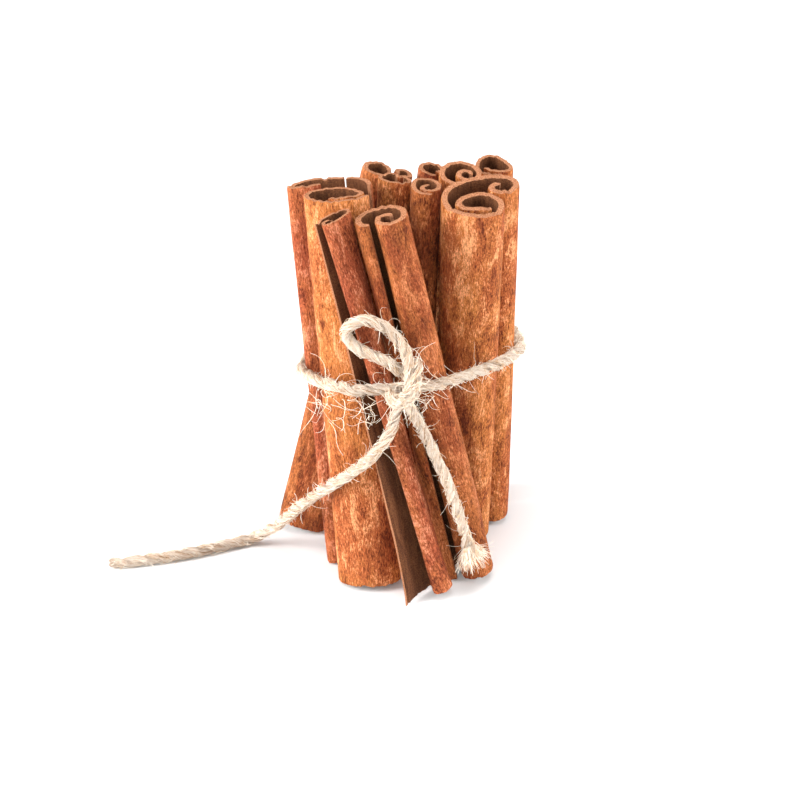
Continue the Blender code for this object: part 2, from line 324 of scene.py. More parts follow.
@dataclass(frozen=True)
class BarkFinish:
    """Bark: fibrous outside, darker inside, pale where it was cut or has broken."""

    tone: Tone
    light: tuple
    middle: tuple
    dark: tuple
    ochre: tuple
    inside: tuple = (0.185, 0.068, 0.026)
    inside_dark: tuple = (0.066, 0.021, 0.008)
    rim: tuple = (0.68, 0.320, 0.165)
    rim_dark: tuple = (0.27, 0.080, 0.030)

    def material(self) -> Material:
        """Make the bark's material.

        Returns:
            The material, which reads "lay", "outside" and "cut" from the mesh.
        """
        make = Nodes(self.tone.value)
        lay = make.vector("lay")
        outside = make.number("outside").step(0.35, 0.65)
        cut = make.number("cut").step(0.35, 0.65)
        speck = lay.noise((40.0, 14.0, 1.0), 5.0, 0.78, 0.3)
        fibre = lay.noise((48.0, 8.0, 1.0), 5.0, 0.76, 0.4)
        streak = lay.noise((8.5, 1.7, 1.0), 5.0, 0.68, 0.9)
        patch = lay.noise((1.7, 0.8, 1.0), 5.0, 0.66, 1.0)
        warmth = lay.noise((1.4, 0.4, 3.0), 4.0, 0.6, 0.5)
        mottle = lay.noise((14.0, 7.0, 1.0), 4.0, 0.65, 0.5)
        rough = lay.noise((1.4, 0.7, 2.0), 3.0, 0.6, 0.4).step(0.38, 0.62)
        tone = (0.10 + 0.22 * rough) * (speck - 0.5) + 0.26 * fibre + 0.40 * patch
        tone = tone + 0.34 * streak
        middle = make.mix(self.middle, self.ochre, warmth.step(0.42, 0.58))
        outer = make.mix(self.dark, middle, tone.step(0.39, 0.51))
        outer = make.mix(outer, self.light, tone.step(0.50, 0.60))
        outer = outer.scaled((0.62 + 0.76 * speck.step(0.32, 0.64))
                             * (0.80 + 0.40 * fibre.step(0.34, 0.64)))
        grain = lay.noise((34.0, 34.0, 20.0), 4.0, 0.7)
        inner = make.mix(self.inside_dark, self.inside,
                         (0.6 * grain + 0.4 * streak).step(0.40, 0.62))
        broken = make.mix(self.rim_dark, self.rim, grain.step(0.38, 0.60))
        base = make.mix(make.mix(inner, outer, outside), broken, cut)
        ridges = 0.40 * fibre + 0.45 * speck + 0.25 * streak + 0.9 * cut * (grain - 0.5)
        make.relief(ridges, 0.00060, 0.85)
        return make.finish(base, 0.70 + 0.22 * mottle, 0.16)


@dataclass(frozen=True)
class JuteFinish:
    """Jute: pale straw fibres, with brown ones between them."""

    name: str = "jute"
    pale: tuple = (0.82, 0.70, 0.59)
    straw: tuple = (0.62, 0.40, 0.24)
    shade: tuple = (0.30, 0.135, 0.055)

    def material(self) -> Material:
        """Make the twine's material.

        Returns:
            The material, which reads "lay" from the mesh.
        """
        make = Nodes(self.name)
        lay = make.vector("lay")
        strand = lay.noise((3.4, 3.4, 1.3), 5.0, 0.7, 0.3)
        fine = lay.noise((8.0, 8.0, 2.2), 3.0, 0.7, 0.2)
        patch = lay.noise((0.7, 0.7, 2.2), 3.0, 0.6)
        tone = 0.45 * strand + 0.40 * fine + 0.15 * patch
        base = make.mix(self.shade, self.straw, tone.step(0.40, 0.47))
        base = make.mix(base, self.pale, tone.step(0.45, 0.52))
        make.relief(0.6 * strand + 0.4 * fine, 0.00100)
        return make.finish(base, 0.82, 0.25)


@dataclass(frozen=True)
class FibreFinish:
    """Single jute fibres: pale, a little shiny."""

    name: str = "jute_fibre"
    pale: tuple = (0.86, 0.76, 0.64)
    straw: tuple = (0.74, 0.52, 0.33)

    def material(self) -> Material:
        """Make the loose fibres' material.

        Returns:
            The material, which reads Object coordinates.
        """
        make = Nodes(self.name)
        where = Place(make, make.place("ShaderNodeTexCoord").outputs["Object"])
        tone = where.noise((900.0, 900.0, 900.0), 3.0, 0.6)
        base = make.mix(self.straw, self.pale, tone.step(0.36, 0.54))
        return make.finish(base, 0.70 + 0.1 * tone, 0.3)


# ---- Pieces ----


def place_in_scene(name: str, data: ID) -> Object:
    """Make an object of a mesh, lamp or camera and put it in the scene, at the origin."""
    placed = bpy.data.objects.new(name, data)
    bpy.context.scene.collection.objects.link(placed)
    return placed


def new_piece(name: str, shape: bmesh.types.BMesh, sharp: float) -> Object:
    """Make an object of a finished shape.

    Args:
        name: the piece's name.
        shape: its shape, which is used up.
        sharp: angle in degrees from which an edge is sharp.

    Returns:
        The object, at the origin.
    """
    mesh = bpy.data.meshes.new(name)
    shape.to_mesh(mesh)
    shape.free()
    mesh.shade_smooth()
    mesh.set_sharp_from_angle(angle=math.radians(sharp))
    return place_in_scene(name, mesh)


def dress(piece: Object, material: Material, nodes: tuple = ()) -> None:
    """Give a piece its finish and stand it for its solids.

    Args:
        piece: the piece.
        material: its finish.
        nodes: the solids that it stands for.
    """
    piece.data.materials.append(material)
    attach(piece, "root")
    if nodes:
        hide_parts(*nodes)
    LOG.info("%s: %d faces", piece.name, len(piece.data.polygons))


# ---- Quills ----


@dataclass(frozen=True)
class Section:
    """Outline of a rolled sheet across the quill, as offsets from the quill's axis."""

    start: tuple
    heading: float
    bends: tuple

    def turned(self, angle: float) -> "Section":
        """The same section, turned about the quill's axis by an angle in degrees."""
        start = Matrix.Rotation(math.radians(angle), 2) @ Vector(self.start)
        return Section(tuple(start), self.heading + angle, self.bends)

    def columns(self) -> list[int]:
        """Number of columns that each bend of the section takes."""
        return [max(1, math.ceil(abs(turn) / FINE_FACET),
                    math.ceil(radius * math.radians(abs(turn)) / FINE_COLUMN))
                for radius, turn in self.bends]

    def line(self, counts: list[int]) -> list[Vector]:
        """Middle line of the sheet.

        Args:
            counts: the number of columns in each bend.

        Returns:
            One point at each column's side.
        """
        point = Vector(self.start)
        direction = math.radians(self.heading)
        line = [point.copy()]
        for (radius, turn), count in zip(self.bends, counts):
            step = math.radians(turn) / count
            chord = 2 * radius * math.sin(abs(step) / 2)
            for _ in range(count):
                ahead = direction + step / 2
                point += chord * Vector((math.cos(ahead), math.sin(ahead)))
                direction += step
                line.append(point.copy())
        return line


def even_rows(length: float) -> list[float]:
    """Heights of a sheet's rows, close together near both cut ends.

    Args:
        length: the quill's length.

    Returns:
        Shares of the length, from 0 to 1.
    """
    last = END_ROWS[-1]
    inner = [last + (length - 2 * last) * index / INNER_STEPS for index in range(INNER_STEPS + 1)]
    heights = [*END_ROWS[:-1], *inner, *(length - height for height in END_ROWS[-2::-1])]
    return [height / length for height in heights]


@dataclass(frozen=True)
class Quill:
    """One stick: where its axis meets the floor and ends, and how its bark is rolled."""

    name: str
    foot: tuple
    head: tuple
    at_head: Section
    tone: Tone
    length: float
    bark: float
    at_foot: Section | None = None
    closing: float = 1.0
    slit: tuple | None = None
    outer_side: int = 1

    def axes(self) -> tuple[Vector, Vector, Vector, Vector]:
        """The quill's foot, its direction, and two directions across it."""
        run = Vector(self.head) - Vector(self.foot)
        rise = math.sqrt(self.length ** 2 - run.length_squared)
        direction = Vector((run.x, run.y, rise)).normalized()
        sideways = (Vector((1, 0, 0)) - direction * direction.x).normalized()
        return Vector((*self.foot, 0)), direction, sideways, direction.cross(sideways)

    def lines(self) -> tuple[list[Vector], list[Vector]]:
        """The sheet's middle line at the foot and at the head."""
        at_foot = self.at_foot or self.at_head
        counts = [max(pair) for pair in zip(at_foot.columns(), self.at_head.columns())]
        return at_foot.line(counts), self.at_head.line(counts)

    def line_at(self, share: float) -> list[Vector]:
        """The sheet's middle line at a share of the length; it closes sooner if told to."""
        low, high = self.lines()
        return [a.lerp(b, share ** self.closing) for a, b in zip(low, high)]

    def lift(self) -> float:
        """How far the quill is raised for its foot to stand on the floor."""
        _, direction, sideways, away = self.axes()
        low, _ = self.lines()
        reach = self.bark / 2
        return -min(sideways.z * point.x + away.z * point.y for point in low) + reach * max(
            abs(sideways.z), abs(away.z))

    def seed(self) -> float:
        """A number of the quill's own, which sets its pattern apart."""
        return sum(ord(letter) * (index + 3) for index, letter in enumerate(self.name)) % 97

    def broken(self, across: float, end: float, slit_at: float) -> float:
        """How far the bark is broken back from the cut at one end.

        Args:
            across: place across the sheet, in millimetres.
            end: 0 for the foot and 1 for the head.
            slit_at: place of the slit across the sheet, in millimetres.

        Returns:
            The depth, in metres.
        """
        seed = self.seed() + 31 * end
        depth = 0.0
        for deep, per_mm, layer in CUT_WAVES:
            depth += deep * (0.5 + noise.noise(Vector((across * per_mm, seed, layer))))
        deep, per_mm, layer, whole = CHIPS
        chip = noise.noise(Vector((across * per_mm, seed, layer))) - whole
        depth += deep * max(0.0, chip)
        if end == 1 and self.slit:
            depth += SLIT_DEPTH * max(0.0, 1 - abs(across - slit_at) / SLIT_HALF_WIDTH)
        return max(0.0, depth)

    def half_thickness(self, where: Vector, edge: float, end: float) -> float:
        """Half the sheet's thickness at a place.

        Args:
            where: place in the bark's waves.
            edge: distance to the nearer free edge, in millimetres.
            end: distance to the nearer cut end, in millimetres.

        Returns:
            Half the thickness, in metres.
        """
        thick = self.bark / 2 * (UNEVEN[0] + UNEVEN[1] * noise.noise(where * 2.3))
        for reach, (kept, rest, width) in ((edge, FREE_EDGE), (end, CUT_END)):
            thick *= kept + rest * min(1.0, reach / width)
        return thick

    def rows(self) -> list[list[tuple[Vector, Vector, float, float]]]:
        """Every row of the sheet, from foot to head.

        Returns:
            For each row a list of (left side, right side, across, along), the last two in
            centimetres.
        """
        _, high = self.lines()
        foot, direction, sideways, away = self.axes()
        foot = foot + Vector((0, 0, self.lift()))
        across = [0.0]
        for before, after in zip(high, high[1:]):
            across.append(across[-1] + (after - before).length * 1000)
        slit_at = 0.0
        if self.slit:
            nearest = min(range(len(high)),
                          key=lambda index: (high[index] - Vector(self.slit)).length)
            slit_at = across[nearest]
        seed = self.seed()
        foots = [self.broken(place, 0, slit_at) for place in across]
        heads = [self.length - self.broken(place, 1, slit_at) for place in across]
        rows = []
        for share in even_rows(self.length):
            line = self.line_at(share)
            row = []
            for index, point in enumerate(line):
                ahead = (line[min(index + 1, len(line) - 1)]
                         - line[max(index - 1, 0)]).normalized()
                normal = Vector((-ahead.y, ahead.x))
                along = foots[index] + (heads[index] - foots[index]) * share
                where = Vector((across[index] * BARK_WAVES[0], along * BARK_WAVES[1], seed))
                wander = (WANDER[0] * noise.noise(where)
                          + WANDER[1] * noise.noise(where * 3.1))
                edge = min(across[index], across[-1] - across[index])
                end = min(along - foots[index], heads[index] - along) * 1000
                thick = self.half_thickness(where, edge, end)
                centre = point + normal * wander
                pair = []
                for way in (1, -1):
                    full = 1.0 if way == self.outer_side else INNER_HALF
                    side = centre + normal * thick * way * full
                    pair.append(foot + direction * along + sideways * side.x + away * side.y)
                row.append((*pair, across[index] / 10, along * 100))
            rows.append(row)
        return rows

    def build(self) -> Object:
        """Model the quill: a grid grown to a slab, then rolled up to the quill's shape.

        Returns:
            The quill, without its finish.
        """
        rows = self.rows()
        columns = len(rows[0]) - 1
        shape = bmesh.new()
        bmesh.ops.create_grid(shape, x_segments=columns, y_segments=len(rows) - 1, size=0.5)
        lay = shape.verts.layers.float_vector.new("lay")
        outside = shape.verts.layers.float.new("outside")
        cut = shape.faces.layers.float.new("cut")
        sheet = set(shape.faces)
        lower = shape.verts[:]
        grown = bmesh.ops.extrude_face_region(shape, geom=shape.faces[:])["geom"]
        upper = [item for item in grown if isinstance(item, bmesh.types.BMVert)]
        sheet |= {item for item in grown if isinstance(item, bmesh.types.BMFace)}
        seed = self.seed()
        for side, verts in ((0, lower), (1, upper)):
            for vert in verts:
                column = round((vert.co.x + 0.5) * columns)
                row = round((vert.co.y + 0.5) * (len(rows) - 1))
                place = rows[row][column]
                vert.co = place[side]
                vert[lay] = (place[2] + seed, place[3], seed + 0.6 * side)
                vert[outside] = float((side == 0) == (self.outer_side > 0))
        for face in shape.faces:
            face[cut] = float(face not in sheet)
        bmesh.ops.recalc_face_normals(shape, faces=shape.faces)
        return new_piece(self.name + "_bark", shape, 50)


def rolled(start: tuple, heading: float, *bends: tuple) -> Section:
    """A section whose start and radii are given in tenths of a millimetre."""
    return Section(*in_metres(start), heading,
                   tuple((radius / TENTHS, turn) for radius, turn in bends))


def stick(name: str, foot: tuple, head: tuple, at_head: Section, tone: Tone, length: int,
          bark: int, **more: object) -> Quill:
    """A quill whose places, length and bark are given in tenths of a millimetre."""
    return Quill(name, *in_metres(foot, head), at_head, tone, length / TENTHS, bark / TENTHS,
                 **more)


OVAL = rolled((63, -15), 226, (73, -70), (90, -15), (27, -125), (76, -65), (11, -105), (80, -40))
TROUGH = rolled((-9, 3), 210, (82, -35), (9, -135), (98, -50), (139, -20), (36, -65))
TWIN = rolled((4, -2), 49, (22, 130), (25, 160), (140, 20), (19, 105), (12, 185))
SMALL_TWIN = rolled((3, 2), 62, (12, 110), (18, 155), (52, 40), (12, 130), (8, 55))
FLANGED = rolled(
    (-41, -25), 178, (19, -50), (29, -110), (96, -15), (39, -95), (28, -90), (22, -105),
    (13, -150))
FLAP_SHUT = rolled(
    (-36, -15), 54, (95, -35), (12, -135), (61, -40), (11, -90), (7, -95), (30, 25))
FLAP_OPEN = rolled(
    (-68, -63), 66, (140, -20), (81, -30), (20, -120), (33, -40), (12, -110), (14, -60))
CURL = rolled((9, -32), 191, (27, -85), (61, -25), (21, -125), (36, -60), (16, -105), (13, -150))
NARROW = rolled((8, -24), 191, (24, -150), (20, -120), (11, -110))
HOODED = rolled((8, -34), 194, (35, -140), (35, -140), (21, -125), (15, -140), (9, -120))
TUBE = rolled(
    (16, -33), 188, (62, -30), (21, -55), (51, -45), (21, -100), (80, -30), (11, -105), (60, -40))
BROAD = rolled(
    (25, -36), 204, (65, -40), (19, -109), (42, -106), (31, -108), (69, -42), (54, -119),
    (110, -54), (22, -81), (25, -136), (12, -151))
BROAD_FOOT = rolled(
    (12, -31), 204, (48, -40), (16, -109), (35, -106), (27, -108), (62, -42), (47, -119),
    (110, -54), (22, -81), (25, -136), (12, -151))
QUILLS = (
    stick("quill_flat", (-70, -62), (-137, 7), TROUGH, Tone.RED_BROWN, 785, 11, slit=SLIT_AT),
    stick("quill_oval", (-63, -127), (-121, -38), OVAL, Tone.TAN, 789, 10),
    stick("quill_rear_left", (-196, 58), (-24, 93), TWIN.turned(24), Tone.BROWN, 777, 11,
          at_foot=TWIN, outer_side=-1),
    stick("quill_inner_twin", (-54, 12), (-9, 44), SMALL_TWIN, Tone.TAN, 780, 8, outer_side=-1),
    stick("quill_flanged", (150, -103), (-16, -113), FLANGED, Tone.BROWN, 790, 13),
    stick("quill_open_flap", (78, -151), (-118, -107), FLAP_SHUT, Tone.RED_BROWN, 791, 7,
          at_foot=FLAP_OPEN, closing=0.6),
    stick("quill_inner_curl", (22, -16), (49, -2), CURL, Tone.BROWN, 786, 10),
    stick("quill_back_middle", (-30, 127), (59, 119), NARROW, Tone.RED_BROWN, 762, 10),
    stick("quill_back_hooded", (80, 165), (112, 64), HOODED, Tone.TAN, 780, 11),
    stick("quill_back_tall", (174, 178), (173, 120), TUBE, Tone.TAN, 766, 9),
    stick("quill_broad_twin", (135, 62), (139, -51), BROAD, Tone.TAN, 790, 13, at_foot=BROAD_FOOT),
)
BARKS = (
    BarkFinish(Tone.TAN, (0.66, 0.280, 0.118), (0.345, 0.088, 0.025),
               (0.120, 0.022, 0.006), (0.430, 0.140, 0.036)),
    BarkFinish(Tone.RED_BROWN, (0.53, 0.195, 0.100), (0.280, 0.062, 0.024),
               (0.105, 0.018, 0.006), (0.340, 0.094, 0.031)),
    BarkFinish(Tone.BROWN, (0.46, 0.155, 0.060), (0.235, 0.053, 0.016),
               (0.085, 0.016, 0.005), (0.285, 0.082, 0.021)),
)


@dataclass
class Bundle:
    """The quills, each with the section it is rolled to."""

    quills: tuple[Quill, ...] = QUILLS

    def build(self) -> None:
        """Model and dress every quill."""
        finishes = {bark.tone: bark.material() for bark in BARKS}
        for quill in self.quills:
            dress(quill.build(), finishes[quill.tone], (quill.name,))


# ---- Twine ----


def evenly(points: list[Vector], step: float) -> list[Vector]:
    """Points at even spacing along a chain of points, both ends kept.

    Args:
        points: the chain.
        step: the spacing, about.

    Returns:
        The new points.
    """
    distances = [0.0]
    for before, after in zip(points, points[1:]):
        distances.append(distances[-1] + (after - before).length)
    count = max(2, round(distances[-1] / step))
    even = []
    leg = 0
    for index in range(count + 1):
        distance = distances[-1] * index / count
        while leg < len(points) - 2 and distances[leg + 1] < distance:
            leg += 1
        share = (distance - distances[leg]) / (distances[leg + 1] - distances[leg])
        even.append(points[leg].lerp(points[leg + 1], share))
    return even


def smooth_route(corners: tuple) -> list[Vector]:
    """Points at even spacing on a smooth curve through the route's own points.

    Args:
        corners: the route's own points.

    Returns:
        The points.
    """
    chain = [Vector(corner) for corner in corners]
    ends = [2 * chain[0] - chain[1]] + chain + [2 * chain[-1] - chain[-2]]
    curve = []
    for before, start, end, after in zip(ends, ends[1:], ends[2:], ends[3:]):
        for index in range(CURVE_STEPS):
            t = index / CURVE_STEPS
            curve.append(0.5 * (2 * start + (end - before) * t
                                + (2 * before - 5 * start + 4 * end - after) * t ** 2
                                + (3 * start - before - 3 * end + after) * t ** 3))
    return evenly(curve + [chain[-1]], TWINE_STEP)


def outward(angle: float, frame: tuple[Vector, Vector, Vector]) -> Vector:
    """The way out of a strand at an angle round it."""
    return math.cos(angle) * frame[1] + math.sin(angle) * frame[2]


def length_of(route: list[Vector]) -> float:
    """Length of a route."""
    return sum((after - before).length for before, after in zip(route, route[1:]))


def frames_along(route: list[Vector]) -> list[tuple[Vector, Vector, Vector]]:
    """Direction and two directions across at each point, which turn as little as they can.

    Args:
        route: the route's points.

    Returns:
        (along, across, other across) at each point.
    """
    frames = []
    across = None
    for index in range(len(route)):
        along = (route[min(index + 1, len(route) - 1)]
                 - route[max(index - 1, 0)]).normalized()
        if across is None:
            across = along.orthogonal().normalized()
        across = (across - along * across.dot(along)).normalized()
        frames.append((along, across, along.cross(across)))
    return frames


@dataclass
class Strand:
    """A length of twine: two plies laid round each other along a route."""

    name: str
    route: list[Vector]
    phase: float = 0.0
    opened: float = 0.0
    taper: float = 0.0
    thickness: float = 1.0

    def ply_line(self, ply: int) -> list[Vector]:
        """Middle of one ply along the strand.

        Args:
            ply: 0 or 1.

        Returns:
            One point at each point of the route.
        """
        line = []
        total = length_of(self.route)
        for index, (point, frame) in enumerate(zip(self.route, frames_along(self.route))):
            distance = total * index / (len(self.route) - 1)
            wobble = noise.noise(Vector((distance * PLY_WANDER[2], self.phase, 3.0)))
            angle = (self.phase + math.pi * ply + PLY_WANDER[0] * wobble
                     + 2 * math.pi * distance / LAY_LENGTH)
            off = self.thickness * (TWINE / 2 - PLY) * (1.0 + PLY_WANDER[1] * wobble)
            near_end = max(0.0, 1 - (total - distance) / OPENING_LENGTH)
            off += self.opened * near_end ** 1.5
            line.append(point + off * outward(angle, frame))
        return line

    def grow(self, shape: bmesh.types.BMesh, ply: int) -> None:
        """Grow one ply ring by ring from a circle.

        Args:
            shape: what the ply is grown in.
            ply: 0 or 1.
        """
        lay = shape.verts.layers.float_vector["lay"]
        round_it, along, slow = PLY_LUMP_WAVES
        line = self.ply_line(ply)
        ring = bmesh.ops.create_circle(shape, cap_ends=True, segments=PLY_SIDES,
                                       radius=1.0)["verts"]
        edges = list({edge for vert in ring for edge in vert.link_edges})
        total = TWINE_STEP * len(line)
        for index, (centre, frame) in enumerate(zip(line, frames_along(line))):
            if index:
                grown = bmesh.ops.extrude_edge_only(shape, edges=edges)["geom"]
                ring = [item for item in grown if isinstance(item, bmesh.types.BMVert)]
                edges = [item for item in grown if isinstance(item, bmesh.types.BMEdge)]
            distance = TWINE_STEP * index
            rim = 0.7 if index in (0, len(line) - 1) else 1.0
            if self.taper:
                rim *= 1 - self.taper * max(0.0, 1 - (total - distance) / TAPER_LENGTH)
            for vert in ring:
                if index:
                    way = vert[lay]
                    turn = math.atan2(way[1], way[0]) - PLY_ROLL
                else:
                    turn = math.atan2(vert.co.y, vert.co.x)
                lump = noise.noise(Vector((math.cos(turn) * round_it, math.sin(turn) * round_it,
                                           distance * along + 17 * ply + self.phase)))
                low = noise.noise(Vector((distance * slow, 11.0 * ply, self.phase)))
                radius = PLY * self.thickness * rim * (
                    1.0 + PLY_LUMPS[0] * lump + PLY_LUMPS[1] * low)
                vert[lay] = (math.cos(turn), math.sin(turn), 5 * ply + distance * 100)
                vert.co = centre + radius * outward(turn, frame)
                vert.co.z = max(vert.co.z, PLY_FLOOR)
        bmesh.ops.holes_fill(shape, edges=edges, sides=0)

    def build(self) -> Object:
        """Model the strand.

        Returns:
            The strand, without its finish.
        """
        shape = bmesh.new()
        shape.verts.layers.float_vector.new("lay")
        for ply in (0, 1):
            self.grow(shape, ply)
        bmesh.ops.recalc_face_normals(shape, faces=shape.faces)
        return new_piece(self.name, shape, 60)


def any_way(dice: random.Random) -> Vector:
    """A direction by chance."""
    return Vector((dice.gauss(0, 1), dice.gauss(0, 1), dice.gauss(0, 1)))


def curling_fibre(dice: random.Random, start: Vector, way: Vector, length: float,
                  curl: float) -> list[Vector]:
    """One loose fibre, curling as it goes.

    Args:
        dice: where chance comes from.
        start: its root.
        way: the way it leaves.
        length: its length.
        curl: how much it turns over its length, in radians.

    Returns:
        Its points.
    """
    count = max(5, round(length / FIBRE_STEP))
    axis = any_way(dice).normalized()
    points = [start.copy()]
    way = way.normalized()
    for _ in range(count):
        axis = (axis + 0.35 * any_way(dice)).normalized()
        way = (Matrix.Rotation(curl / count, 3, axis) @ way).normalized()
        spot = points[-1] + way * length / count
        spot.z = max(spot.z, FIBRE_FLOOR)
        points.append(spot)
    return points


@dataclass
class Fuzz:
    """Loose fibres that stand off a strand."""

    name: str
    route: list[Vector]
    short_per_mm: float
    long_per_mm: float
    seed: int
    longest: float = 0.0075

    def lying(self, dice: random.Random, frames: list) -> list[Vector]:
        """One fibre that lies along the strand, going round it with the plies.

        Args:
            dice: where chance comes from.
            frames: directions at each point of the route.

        Returns:
            Its points.
        """
        steps = dice.randrange(4, 9)
        first = dice.randrange(0, max(1, len(self.route) - 2 * steps))
        angle = dice.uniform(0, 2 * math.pi)
        reach = TWINE * dice.uniform(*LYING_REACH)
        turn = 2 * math.pi * 2 * TWINE_STEP / LAY_LENGTH
        turn += dice.gauss(0, 0.10)
        points = []
        for step in range(steps):
            index = min(first + 2 * step, len(self.route) - 1)
            points.append(self.route[index] + outward(angle, frames[index]) * reach)
            angle += turn
            reach *= 1 + dice.gauss(0, 0.03)
        for point in points:
            point.z = max(point.z, FIBRE_FLOOR)
        return points

    def fibres(self) -> list[list[Vector]]:
        """Every fibre of the strand."""
        dice = random.Random(self.seed)
        frames = frames_along(self.route)
        total = length_of(self.route) * 1000
        made = [self.lying(dice, frames) for _ in range(round(total * LYING_PER_MM))]
        for kind, per_mm in (("short", self.short_per_mm), ("long", self.long_per_mm)):
            for _ in range(round(total * per_mm)):
                index = dice.randrange(1, len(self.route) - 1)
                along = frames[index][0]
                out = outward(dice.uniform(0, 2 * math.pi), frames[index])
                side = along.cross(out)
                root = self.route[index] + out * TWINE * dice.uniform(*ROOT_REACH)
                forward = dice.choice((-1, 1)) * dice.uniform(*LEAN_ALONG)
                way = along * forward + out * dice.uniform(*LEAN_OUT)
                way += side * dice.gauss(0, LEAN_ASIDE)
                if kind == "short":
                    length = dice.uniform(*SHORT_FIBRE)
                    curl = dice.gauss(0, SHORT_CURL)
                else:
                    length = dice.uniform(LONG_FIBRE_FROM, self.longest)
                    curl = dice.choice((-1, 1)) * dice.uniform(*LONG_CURL)
                made.append(curling_fibre(dice, root, way, length, curl))
        return made

    def build(self, extra: list[list[Vector]] | None = None) -> Object:
        """Model the fibres as fine round threads.

        Args:
            extra: more fibres to model in the same piece.

        Returns:
            The fibres, without their finish.
        """
        dice = random.Random(self.seed + 1)
        curve = bpy.data.curves.new(self.name, "CURVE")
        curve.dimensions = "3D"
        curve.bevel_depth = 1.0
        curve.bevel_resolution = 0
        curve.use_fill_caps = True
        for points in self.fibres() + (extra or []):
            spline = curve.splines.new("POLY")
            spline.points.add(len(points) - 1)
            radius = dice.uniform(*FIBRE_RADIUS)
            for index, (point, spot) in enumerate(zip(spline.points, points)):
                point.co = (*spot, 1.0)
                point.radius = radius * (1 - 0.6 * index / len(points))
        draft = bpy.data.objects.new(self.name + "_draft", curve)
        mesh = bpy.data.meshes.new_from_object(draft)
        bpy.data.objects.remove(draft)
        bpy.data.curves.remove(curve)
        shape = bmesh.new()
        shape.from_mesh(mesh)
        bpy.data.meshes.remove(mesh)
        bmesh.ops.remove_doubles(shape, verts=shape.verts, dist=1e-7)
        bmesh.ops.recalc_face_normals(shape, faces=shape.faces)
        return new_piece(self.name, shape, 180)


